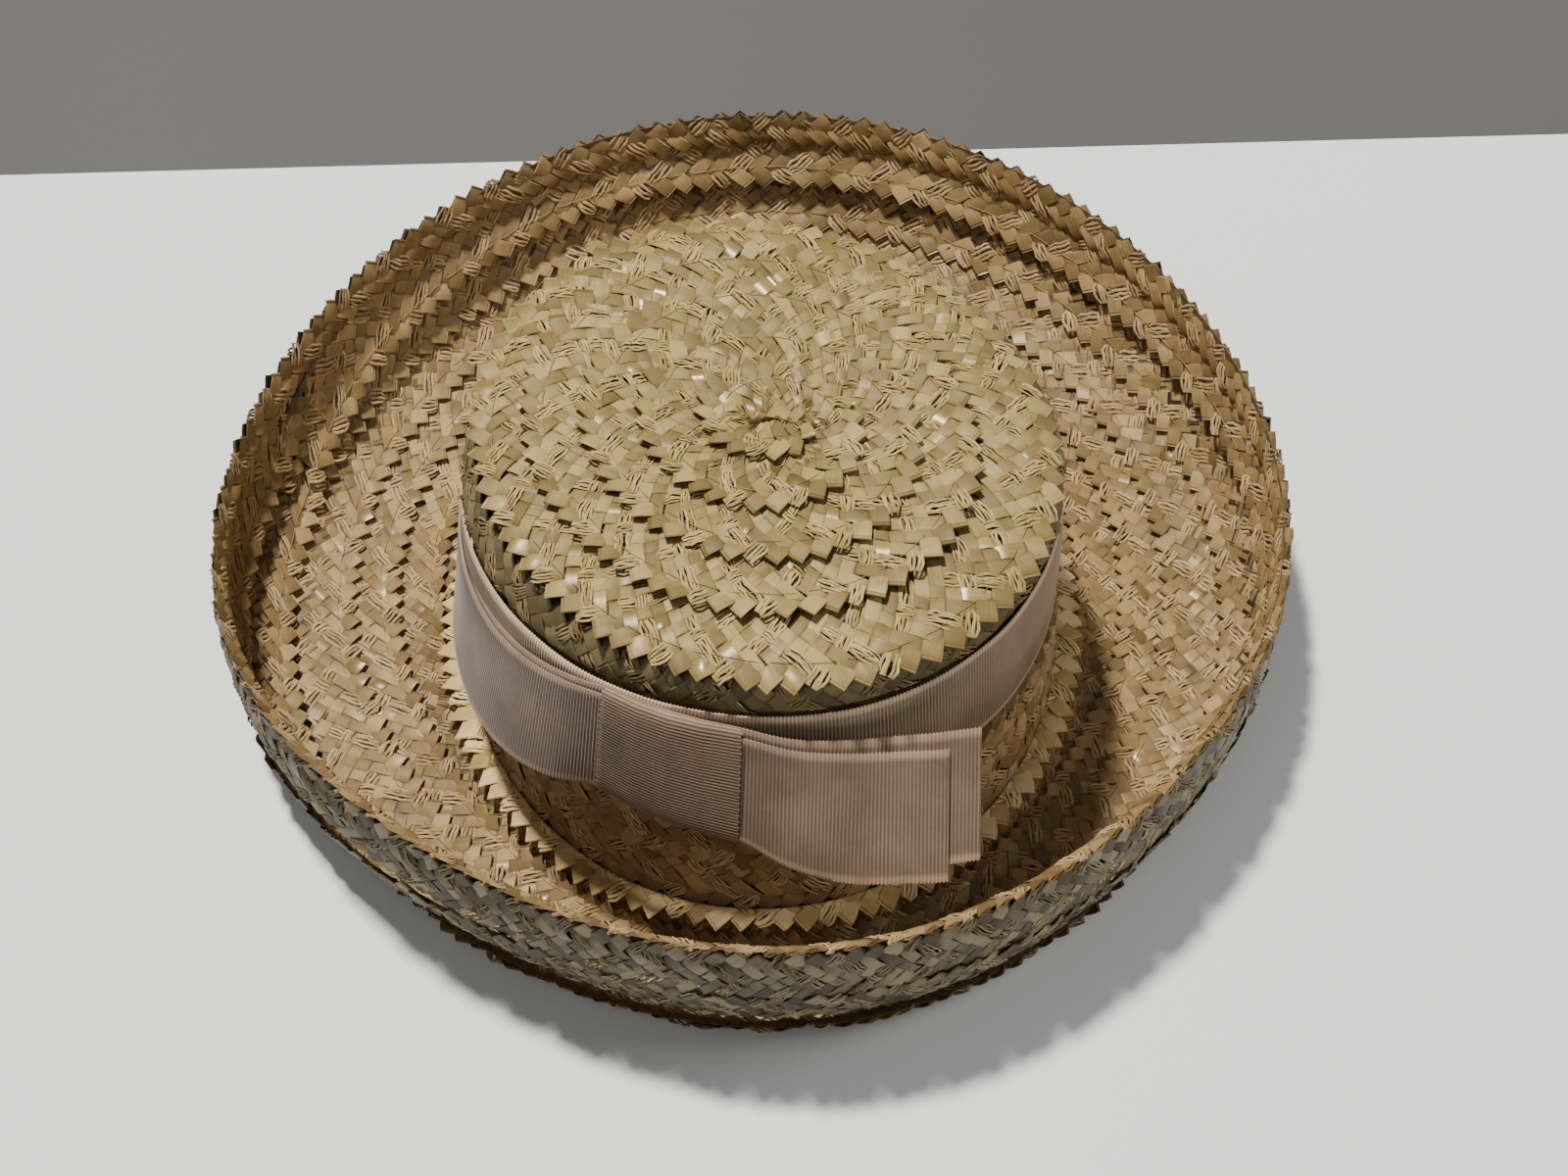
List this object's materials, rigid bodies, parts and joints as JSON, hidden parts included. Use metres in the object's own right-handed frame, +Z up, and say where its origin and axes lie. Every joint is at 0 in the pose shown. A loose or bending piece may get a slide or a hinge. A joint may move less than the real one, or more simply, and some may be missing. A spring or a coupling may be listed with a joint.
{
  "type": "straw hat",
  "caption": "Plaited straw hat standing crown up: oval crown with a flat tip, brim turned up all round like a bowl, ribbon band and a flat bow.",
  "frame": {"origin": "centre of the hat's outer box, on the plane it rests on", "axes": "+Z up through the crown, -Y towards the side with the bow, +X towards the tail of the bow"},
  "size_m": [0.329, 0.3246, 0.1083],
  "materials": {
    "straw_tip": "plaited straw, half gloss",
    "straw_side": "plaited straw, half gloss",
    "straw_brim": "plaited straw, half gloss",
    "straw_edge": "plaited straw, half gloss",
    "grosgrain_ribbon": "ribbed ribbon, matt",
    "grosgrain_bow": "ribbed ribbon, matt"
  },
  "bodies": {
    "root": {"crown_tip": "straw_tip", "crown_side": "straw_side", "brim": "straw_brim", "rim_binding": "straw_edge", "base_row": "straw_edge", "ribbon_band": "grosgrain_ribbon", "bow_ribbon": "grosgrain_bow", "bow_knot": "grosgrain_bow"}
  },
  "joints": []
}
